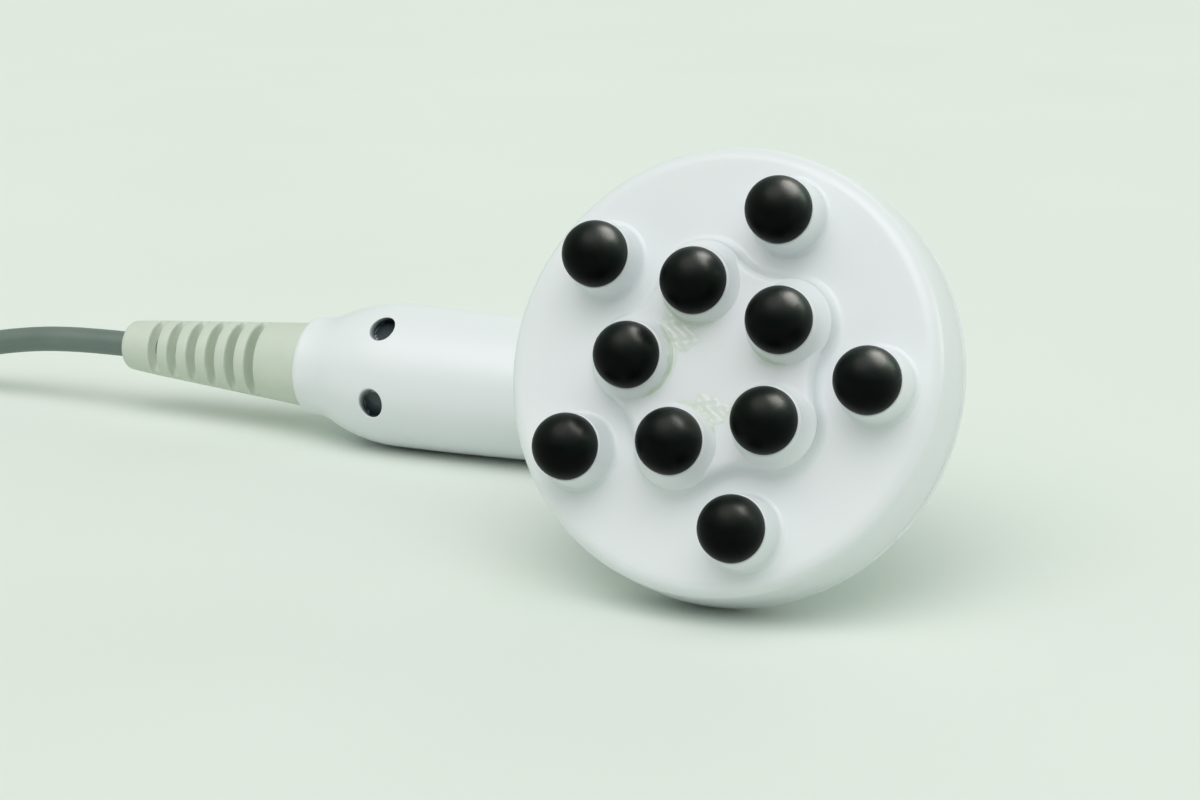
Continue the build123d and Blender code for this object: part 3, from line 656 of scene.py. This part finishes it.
def grip_radius(back):
    """Radius at distances behind the head's middle: two arcs that meet at the belly, a hollow arc that runs
    from the shoulder into the collar, and a rounded end."""
    rise, fall = belly_radius - neck_radius, belly_radius - shoulder_radius
    front, rear = belly_place - bend_radius, shoulder_end - belly_place
    step, lead_in = shoulder_radius - collar_radius, collar_start - shoulder_end
    front_arc = (front ** 2 + rise ** 2) / (2 * rise)
    rear_arc = (rear ** 2 + fall ** 2) / (2 * fall)
    hollow_arc = (lead_in ** 2 + step ** 2) / (2 * step)
    arc_radius = np.where(back < belly_place, front_arc, rear_arc)
    off = np.clip(back - belly_place, -front, rear)
    body = belly_radius - arc_radius + np.sqrt(arc_radius ** 2 - off ** 2)
    left = np.clip(collar_start - back, 0, lead_in)
    hollow = collar_radius + hollow_arc - np.sqrt(hollow_arc ** 2 - left ** 2)
    body = np.where(back > shoulder_end, hollow, body)
    drop = collar_radius - mouth_radius
    end_arc = (collar_round ** 2 + drop ** 2) / (2 * drop)
    into = np.clip(back - collar_end + collar_round, 0, collar_round)
    return body - end_arc + np.sqrt(end_arc ** 2 - into ** 2)


def handle_stations():
    """Stations along the middle line: place, way to the fingers, radius, and distance behind the head."""
    back = np.concatenate((
        np.linspace(bend_radius, field_start, 28), np.linspace(field_start, field_end, field_rows)[1:],
        np.linspace(field_end, shoulder_end, 10)[1:], np.linspace(shoulder_end, collar_start, 13)[1:],
        collar_end - collar_round + collar_round * np.sin(np.linspace(0, math.pi / 2, 10)),
    ))
    bend = np.linspace(0, math.pi / 2, 46)[1:-1]
    bend_top = grip_drop - bend_radius
    neck = np.array((neck_top, neck_top + neck_step, bend_top))
    way = np.concatenate((
        np.tile((-1.0, 0, 0), (len(neck), 1)),
        np.c_[-np.cos(bend), 0 * bend, np.sin(bend)],
        np.tile((0, 0, 1.0), (len(back), 1)),
    ))
    place = np.concatenate((
        np.c_[0 * neck, 0 * neck, -neck],
        (-bend_radius, 0, -bend_top) - bend_radius * way[len(neck):-len(back)],
        np.c_[-back, 0 * back, 0 * back - grip_drop],
    ))
    before = len(neck) + len(bend)
    radius = np.concatenate((np.full(before, neck_radius), grip_radius(back)))
    return place, way, radius, np.concatenate((np.zeros(before), back))


def half_angles():
    """Angles across one half, with lines where a screw well's field begins and ends."""
    marks = (-90, -well_last, -well_first, well_first, well_last, 90)
    counts = (13, 15, 11, 15, 13)
    parts = [np.linspace(a, b, n)[:-1] for a, b, n in zip(marks, marks[1:], counts)]
    return np.radians(np.concatenate(parts + [[90]]))


def ring_on(place, way, radius, angle):
    """Points at angles round the middle line; angle 0 looks towards the fingers, 90 along the parting."""
    along, across = np.moveaxis(on_circle(angle, radius), -1, 0)[..., None]
    return place[:, None] + along * way[:, None] + across * (0, 1, 0)


def half_shell(to_fingers):
    """Closed wall of one half: the outer skin dips a little at the parting, the inner one is a wall in."""
    place, way, radius, back = handle_stations()
    way = way if to_fingers else -way
    angle = np.tile(half_angles(), (len(place), 1))
    angle[:, 1] = -math.pi / 2 + parting_width / radius
    angle[:, -2] = math.pi / 2 - parting_width / radius
    skin = np.tile(radius[:, None], (1, angle.shape[1]))
    skin[:, (0, -1)] -= parting_dip
    outer = ring_on(place, way, skin, angle)
    inner = ring_on(place, way, radius[:, None] - wall, angle)[:, ::-1]
    middle = ring_on(place, way, radius[:, None] - wall / 2, angle)
    ends = np.concatenate((middle, middle[:, ::-1]), axis=1)
    sides = np.concatenate((outer, inner), axis=1)
    return np.concatenate((ends[:1], sides, ends[-1:])), outer.shape[1], back


def well_skin(side):
    """Field round a screw well: rings that pass from the edge of its opening in the grid to the well's rim,
    over a small rounding, down the wall to the seat and in to the screw's hole."""
    angle = half_angles()
    back = np.linspace(field_start, field_end, field_rows)
    across = angle[(angle > math.radians(well_first) - 1e-6) & (angle < math.radians(well_last) + 1e-6)]
    far, near = np.full(len(across) - 1, field_end), np.full(len(across) - 2, field_start)
    first, last = np.full(len(back), across[0]), np.full(len(back) - 1, across[-1])
    edge_back = np.concatenate((back, far, back[::-1][1:], near))
    edge_angle = np.concatenate((first, across[1:], last, across[::-1][1:-1]))
    edge = np.stack((-edge_back, side * grip_radius(edge_back) * np.sin(edge_angle)), axis=1)
    centre = np.array((-well_place, side * well_spread))
    out = (edge - centre) / np.linalg.norm(edge - centre, axis=1)[:, None]
    reach = well_radius + well_rim

    def lifted(spots, drop=0.0):
        height = np.sqrt(grip_radius(-spots[:, 0]) ** 2 - spots[:, 1] ** 2)
        return np.c_[spots, height - grip_drop - drop]

    rows = [lifted(edge + (centre + reach * out - edge) * share) for share in np.linspace(0, 1, 9)]
    for turn in np.radians((15, 30, 45, 60, 75, 90)):
        spots = centre + (well_radius + well_rim * (1 - math.sin(turn))) * out
        rows.append(lifted(spots, well_rim * (1 - math.cos(turn))))
    foot = np.full(len(out), seat_height - grip_drop)
    rim_foot = rows[-1]
    for share in (0.15, 0.3, 0.6):
        rows.append(rim_foot + (np.c_[rim_foot[:, :2], foot] - rim_foot) * share)
    for radius in (well_radius, screw_hole_radius):
        rows.append(np.c_[centre + radius * out, foot])
    for radius in (screw_hole_radius, 0):
        rows.append(np.c_[centre + radius * out, foot - screw_hole_depth])
    return np.stack(rows)


def finger_half_faces():
    """The finger half's wall with the quads over the two well fields left out, and the fields put in."""
    grid, outer_columns, back = half_shell(True)
    points, quads = joined([grid])
    row, column = quads[:, 0] // grid.shape[1] - 1, quads[:, 0] % grid.shape[1]
    station = np.append(back, back[-1])[np.clip(row, 0, None)]
    angle = np.degrees(np.append(half_angles(), np.full(grid.shape[1] - outer_columns, 90)))[column]
    slack = 0.01
    along = np.abs(station - well_place + slack) <= well_half_length
    across = ((angle > well_first - slack) & (angle < well_last - slack)) | (
        (angle > -well_last - slack) & (angle < -well_first - slack))
    quads = quads[~(along & across & (column < outer_columns - 1))]
    for side in (-1, 1):
        more, faces = patch(well_skin(side), len(points))
        points, quads = np.concatenate((points, more)), np.concatenate((quads, faces))
    return points, quads


def mark_wells(piece):
    """Gives each point the number that the plastic's colour reads: 0 on the skin, and down a well its depth
    as a share of the depth at which the painted shade is darkest."""
    place = np.empty(3 * len(piece.data.vertices))
    piece.data.vertices.foreach_get("co", place)
    x, y, z = ((place.reshape(-1, 3) - face_centre) @ head_axes / mm).T
    skin = np.sqrt(np.maximum(grip_radius(-x) ** 2 - y ** 2, 0)) - grip_drop
    in_well = np.hypot(x + well_place, np.abs(y) - well_spread) < well_radius + 0.01
    in_well &= z > seat_height - grip_drop - screw_hole_depth - 1.0
    marks = piece.data.attributes.new("painted_well_shade", "FLOAT", "POINT")
    marks.data.foreach_set("value", np.where(in_well, np.clip((skin - z) / well_shade_depth, 0, 1), 0))


finger_half = mesh_piece("finger_half_skin", finger_half_faces(), abs_white,
                         ("grip_finger_half",))
mark_wells(finger_half)
mesh_piece("outer_half_skin", [half_shell(False)[0]], abs_white, ("grip_outer_half",))


# Screws: pan-head screws of plated steel with a cross recess. Two sit at the bottom of the grip's wells,
# their plating painted darker to stand for the shade down there, and bite into bosses of the other half;
# four hold the neck to the bowl, two the cable clamp.
screw_head_radius, screw_head_height, screw_head_round = 2.1, 1.5, 0.5
screw_length = 13.0
thread_radius, thread_depth, thread_pitch = 0.9, 0.12, 0.8
thread_start, point_length, neck_under_head = 0.2, 1.0, 1.0
recess_depth, recess_half_width, recess_reach = 0.8, 0.36, 1.35
recess_side, recess_end = 0.12, 0.25


def plated_steel(name, colour):
    """Zinc-plated steel: satin, with faint blotches in the plating."""
    material, place = new_material(name)
    blotch = add(material, "TexNoise", "Fac", {"Vector": place, "Scale": 1 / (1.2 * mm), "Detail": 3.0})
    gloss = add(material, "MapRange", "Result", {"Value": blotch, "To Min": 0.22, "To Max": 0.5})
    return finish_material(material, add(material, "BsdfPrincipled", "BSDF", {
        "Base Color": colour, "Metallic": 1.0, "Roughness": gloss}))


def pan_head_screw(x, y):
    """Turned head and threaded shank; the top's height dips where the two crossing slots run."""
    flat_radius = screw_head_radius - screw_head_round
    flat = np.c_[np.linspace(0, flat_radius, 16), np.full(16, screw_head_height)]
    edge = arc((flat_radius, screw_head_height - screw_head_round), screw_head_round, 90, 0, 7)[1:]
    depth = np.linspace(-thread_start, point_length - screw_length, 64)
    thread = thread_radius + thread_depth * (np.sin(2 * math.pi * depth / thread_pitch) - 1) / 2
    under = ((screw_head_radius, 0), (neck_under_head, 0))
    grid = turned(96, flat, edge, under, np.c_[thread, depth], ((0, -screw_length),))
    x_off, y_off = np.abs(grid[:16, :, 0]), np.abs(grid[:16, :, 1])
    slot = np.clip((recess_half_width - np.minimum(x_off, y_off)) / recess_side, 0, 1)
    slot *= np.clip((recess_reach - np.maximum(x_off, y_off)) / recess_end, 0, 1)
    grid[:16, :, 2] -= recess_depth * slot
    return grid + (x, y, seat_height - grip_drop)


well_screws = [pan_head_screw(-well_place, side * well_spread) for side in (-1, 1)]
# The well screws' plating is painted dark: painted shade at the bottom of the wells.
mesh_piece("well_screws", well_screws, plated_steel("zinc_plated_steel_painted_shade", "#4A5054"),
           ("grip_screws",))
use_on_nodes(plated_steel("zinc_plated_steel", "#A9ADB0"), "neck_screws", "clamp_screws")


# Strain relief: a soft PVC sleeve with a fat root in the collar and a tapered body. Six slots from each
# side leave thin ribs and open onto the lead, so that it bends evenly where the lead comes out.
relief_root_radius, relief_inside, relief_step = 8.7, 6.0, 0.2
relief_tip, relief_tip_radius, relief_tip_round = collar_end + 43.4, 5.2, 1.5
relief_bore_depth, relief_bore_gap = 4.0, 0.02
slot_first, slot_pitch, slot_count, slot_width, slot_floor = collar_end + 11.0, 4.8, 6, 2.1, 2.0
rib_round, rib_round_depth, rib_side = 0.3, 0.16, 0.03


def relief_skin(columns=128):
    """Rows along the sleeve; inside a slot the radius is cut back to the slot's flat floor, at a distance
    of floor over cosine of the angle, and the ribs' edges are rounded."""
    turn = np.linspace(0, 1, 5)
    round_off = rib_round_depth * (1 - np.sqrt(1 - turn * turn))
    rows = [(collar_end - relief_inside, 0.0), (collar_end - relief_step, 0.0)]
    for i in range(slot_count):
        near = slot_first + slot_pitch * i - slot_width / 2
        far = near + slot_width
        rows += list(zip(near - rib_round * (1 - turn), round_off))
        rows += [(near + rib_side, 1.0), ((near + far) / 2, 1.0), (far - rib_side, 1.0)]
        rows += list(zip(far + rib_round * (1 - turn[::-1]), round_off[::-1]))
    back, depth = np.array(rows).T
    slope = (relief_root_radius - relief_tip_radius) / (relief_tip - collar_end)
    radius = relief_root_radius - slope * np.maximum(back - collar_end, 0)
    tip_centre = (relief_tip - relief_tip_round, relief_tip_radius - relief_tip_round)
    tip = arc(tip_centre, relief_tip_round, 90, 0, 9)
    bore = cord_diameter / mm / 2 + relief_bore_gap
    close = np.concatenate((tip, ((relief_tip, bore), (relief_tip - relief_bore_depth, bore))))
    angle = whole_turn(columns)
    floor_radius = slot_floor / np.maximum(np.abs(np.cos(angle)), 0.01)
    cut = np.maximum(radius[:, None] - floor_radius, 0)
    radius = radius[:, None] - cut * depth[:, None]
    back = np.concatenate((back, close[:, 0]))
    radius = np.concatenate((radius, np.repeat(close[:, 1:], columns, axis=1)))
    return np.stack((np.broadcast_to(-back[:, None], radius.shape), radius * np.sin(angle),
                     radius * np.cos(angle) - grip_drop), axis=-1)


# Soft PVC is pale grey-green and dull, a little darker where dust settles, with a faint moulded grain.
relief_rubber = clouded_finish("soft_pvc_relief", "#C1CDBE", "#CFD9CB", 5, 0.55, 4.0,
                               (0.6, 2.0, 0.2, 0.05), {"IOR": 1.52})
mesh_piece("relief_sleeve", [relief_skin()], relief_rubber, ("strain_relief",))


# Cable tie: a black nylon strap pulled round the coil at one place, with its square head on the outer side
# and the rest of the strap cut off flush.
tie_angle = math.radians(-45)
tie_inner, tie_outer, tie_low, tie_high, tie_corner = 21.1, 40.3, 0.45, 11.6, 3.0
tie_width, tie_thickness = 3.6, 0.9
tie_head_place, tie_head_size, tie_head_round = (41.4, 0.0, 7.4), (3.2, 5.0, 4.6), 0.7
coil_middle = (lead_out[-1] - (cord_diameter, coil_outer_radius, 0)) * (1, 1, 0)


def on_coil(points):
    """Millimetres out from the coil's middle, across that way and up, to metres on the table."""
    out, across, up = np.asarray(points).T * mm
    return coil_middle + np.c_[on_circle(tie_angle, out) + on_circle(tie_angle + math.pi / 2, across), up]


def strap_skin():
    """Flat band with four edges, carried round a rectangle with rounded corners."""
    lines = []
    for off, side in ((-0.5, -0.5), (0.5, -0.5), (0.5, 0.5), (-0.5, 0.5)):
        radius = tie_corner + off * tie_thickness
        line = np.concatenate([arc(centre, radius, first, first + 90, 9) for centre, first in (
            ((tie_outer - tie_corner, tie_high - tie_corner), 0),
            ((tie_inner + tie_corner, tie_high - tie_corner), 90),
            ((tie_inner + tie_corner, tie_low + tie_corner), 180),
            ((tie_outer - tie_corner, tie_low + tie_corner), 270))])
        lines.append(np.insert(line, 1, side * tie_width, axis=1))
    rows = np.stack(lines, axis=1)
    return np.concatenate((rows, rows[:1]))


def tie_head(columns=48):
    """Block with rounded edges: its outline is a superellipse that shrinks along an arc at both ends."""
    way = on_circle(whole_turn(columns))
    outline = np.sign(way) * np.abs(way) ** 0.35
    half_out, half_across, half_up = np.array(tie_head_size) / 2
    turn = np.radians(np.linspace(0, 90, 6))
    shrink = tie_head_round * (1 - np.sin(turn))
    lift = half_up - tie_head_round * (1 - np.cos(turn))
    rows = [np.c_[outline * (half_out - s, half_across - s), np.full(columns, h)]
            for s, h in zip(np.r_[shrink, shrink[::-1]], np.r_[-lift, lift[::-1]])]
    ends = [np.tile((0, 0, h), (columns, 1)) for h in (-half_up, half_up)]
    return np.stack(ends[:1] + rows + ends[1:]) + tie_head_place


tie = mesh_piece("cable_tie", [strap_skin(), tie_head()], black_nylon, (), on_coil)


# Plug: a four-pin round plug on the lead's end. A black rubber boot runs onto a nickel-plated brass body
# with a knurled barrel and a keyed nose. The fluted ring that screws the plug to its socket turns on the
# body's journal.
plug_root = coil_end * (1, 1, 0) + tail_steps[-1]
boot_length, boot_root_radius, boot_end_radius, boot_root_round = 15.0, 3.9, 6.0, 1.0
groove_first, groove_count, groove_pitch, groove_depth = 3.0, 5, 2.0, 0.35
barrel_radius, barrel_end, barrel_round = 8.0, 28.0, 0.4
barrel_foot_radius, barrel_foot_round = 6.6, 1.0
knurl_ridges, knurl_depth, knurl_lead_in = 60, 0.14, 0.3
knurl_first, knurl_last = boot_length + 2.0, barrel_end - 1.0
journal_radius, journal_end, journal_groove = 7.0, 32.5, 0.2
ring_start, ring_length, ring_radius, ring_bore = 28.2, 9.5, 9.0, 7.05
ring_wall, ring_shoulder, ring_edge_round = 1.0, 3.0, 0.35
flute_count, flute_radius, flute_depth = 18, 0.9, 0.45
nut_thread_pitch, nut_thread_depth = 1.0, 0.25
nut_thread_start, nut_thread_end = 0.5, 0.3
nose_start, nose_end, nose_radius, nose_wall = 37.7, 44.7, 6.6, 1.0
key_half_width, key_length = 1.1, 4.0
nose_floor, nose_chamfer = 33.5, 0.25
pin_radius, pin_ring_radius, pin_low, pin_high = 0.6, 2.9, 36.7, 44.1


def on_plug(points):
    """Millimetres along the plug's own axis to metres on the table: the plug lies along -y."""
    x, y, z = np.asarray(points).T * mm
    return np.stack((x, -z, y), axis=1) + plug_root


def boot_skin():
    """Tapered sleeve; each groove cuts the radius back by a raised cosine."""
    along = np.linspace(boot_root_round, boot_length, 120)
    share = (along - boot_root_round) / (boot_length - boot_root_round)
    radius = boot_root_radius + (boot_end_radius - boot_root_radius) * share
    phase = (along - groove_first) / groove_pitch
    in_grooves = (phase > 0) & (phase < groove_count)
    radius -= in_grooves * groove_depth * (0.5 - 0.5 * np.cos(2 * math.pi * phase)) ** 3
    root = arc((boot_root_radius - boot_root_round, boot_root_round), boot_root_round, -90, 0, 7)
    return turned(96, ((0, 0),), root, np.c_[radius, along][1:], ((0, boot_length),))


def body_skin(columns=360):
    """Turned body with a straight knurl: over the barrel's length the radius falls by a triangle wave of
    the angle. It runs on as journal and nose to where the nose's key slot begins, then back inside."""
    inner, groove = nose_radius - nose_wall, nose_radius - journal_groove
    full = nose_end - key_length
    foot, edge = boot_length + barrel_foot_round, barrel_end - barrel_round
    marks = (knurl_first, knurl_first + knurl_lead_in, knurl_last - knurl_lead_in, knurl_last)
    profile = np.concatenate((
        ((0, boot_length), (barrel_foot_radius, boot_length)),
        arc((barrel_radius - barrel_foot_round, foot), barrel_foot_round, -90, 0, 7),
        [(barrel_radius, height) for height in marks],
        arc((barrel_radius - barrel_round, edge), barrel_round, 0, 90, 5),
        ((journal_radius, barrel_end), (journal_radius, journal_end), (groove, journal_end)),
        ((groove, nose_start), (nose_radius, nose_start), (nose_radius, full)),
        ((inner, full), (inner, nose_floor), (0, nose_floor)),
    ))
    grid = turned(columns, profile)
    wave = np.abs((np.arange(columns) * knurl_ridges / columns) % 1 - 0.5) * 2
    knurled = (profile[:, 1] > knurl_first) & (profile[:, 1] < knurl_last)
    shrink = 1 - knurled[:, None] * wave * knurl_depth / barrel_radius
    grid[..., :2] *= shrink[..., None]
    return grid


def nose_crown():
    """Rest of the nose beyond the root of the key slot: a C that ends in the slot's two straight sides."""
    share = np.linspace(0, 1, 121)[:, None]
    inner, foot, cut = nose_radius - nose_wall, nose_end - key_length, nose_chamfer
    radius, height = np.array((
        (inner, foot), (nose_radius, foot), (nose_radius, nose_end - cut), (nose_radius - cut, nose_end),
        (inner + cut, nose_end), (inner, nose_end - cut),
    )).T
    start = np.arcsin(key_half_width / radius)
    angle = start + (2 * math.pi - 2 * start) * share
    crown = ring_at(angle, radius, height)
    ends = [np.broadcast_to(row.mean(axis=0), row.shape)[None] for row in (crown[0], crown[-1])]
    return np.concatenate((ends[0], crown, ends[1]))


def ring_skin(columns=360):
    """Nut: outside, each flute is the near side of a small round bar that cuts the rim; inside, past the
    shoulder, the radius swings with height and angle together, which is a thread."""
    angle = whole_turn(columns)
    reach = ring_radius + flute_radius - flute_depth
    off = np.abs((angle * flute_count / (2 * math.pi) + 0.5) % 1 - 0.5) * 2 * math.pi / flute_count
    inside = flute_radius ** 2 - (reach * np.sin(off)) ** 2
    fluted = np.where(inside > 0, reach * np.cos(off) - np.sqrt(np.maximum(inside, 0)), ring_radius)
    outline = np.minimum(fluted, ring_radius)
    end = ring_start + ring_length
    turn = np.radians(np.linspace(0, 90, 6))
    cut, rise = ring_edge_round * (1 - np.cos(turn)), ring_edge_round * (1 - np.sin(turn))
    outer = [(outline - c, ring_start + r) for c, r in zip(cut[::-1], rise[::-1])]
    outer += [(outline - c, end - r) for c, r in zip(cut, rise)]
    shoulder = ring_start + ring_shoulder
    thread_height = np.linspace(end - nut_thread_start, shoulder + nut_thread_end, 60)
    bore = ring_radius - ring_wall
    swing = [bore - nut_thread_depth * np.abs((h / nut_thread_pitch - angle / (2 * math.pi)) % 1 - 0.5) * 2
             for h in thread_height]
    inner = [(bore, end)] + list(zip(swing, thread_height))
    inner += [(bore, shoulder), (ring_bore, shoulder), (ring_bore, ring_start)]
    return np.stack([ring_at(angle, r, h) for r, h in outer + inner + outer[:1]])


def pin_skin(place):
    """Turned pin with a ball end."""
    tip = arc((0, pin_high - pin_radius), pin_radius, 90, 0, 9)
    return turned(32, tip, ((pin_radius, pin_low), (0, pin_low)), place=place)


def nickel_plate():
    """Satin nickel plate on turned brass: warm grey metal with fine rings from turning, 0.3 mm apart here
    so that they show, and slightly duller where fingers touch it."""
    material, place = new_material("satin_nickel_plated_brass")
    rings = add(material, "TexWave", "Fac", {
        "Vector": place, "Scale": bands_repeat / (0.3 * mm), "Distortion": 0.6}, bands_direction="Y")
    touch = add(material, "TexNoise", "Fac", {"Vector": place, "Scale": 1 / (4 * mm), "Detail": 3.0})
    gloss = add(material, "MapRange", "Result", {"Value": touch, "To Min": 0.14, "To Max": 0.42})
    normal = add(material, "Bump", "Normal", {"Height": rings, "Strength": 0.12, "Distance": 0.02 * mm})
    return finish_material(material, add(material, "BsdfPrincipled", "BSDF", {
        "Base Color": "#B9B4AA", "Metallic": 1.0, "Roughness": gloss, "Normal": normal}))


nickel = nickel_plate()
boot_rubber = clouded_finish("moulded_black_rubber", "#171718", "#212122", 1.2, (0.54, 0.7))
gilt = clouded_finish("gold_flashed_brass", "#D8AE55", "#E0BA66", 1.0, (0.17, 0.33), more=metal)
spring_steel = clouded_finish("blued_spring_steel", "#6F7276", "#7C7F83", 0.8, (0.27, 0.43), more=metal)
insert_resin = clouded_finish("moulded_insert_resin", "#111112", "#1A1A1B", 0.6, (0.42, 0.58))
boot = mesh_piece("rubber_boot", [boot_skin()], boot_rubber, ("plug_boot",), on_plug)
body = mesh_piece("knurled_body", [body_skin(), nose_crown()], nickel, ("plug_shell",),
                  on_plug)
four_pins = [pin_skin(p) for p in on_circle(np.radians((45, 135, 225, 315)), pin_ring_radius)]
pins = mesh_piece("contact_pins", four_pins, gilt, ("plug_pins",), on_plug)
nut = mesh_piece("fluted_nut", [ring_skin()], nickel, ("coupling_ring",), on_plug,
                 "screw_ring")
use_on_nodes(spring_steel, "retaining_clip")
use_on_nodes(insert_resin, "plug_insert")
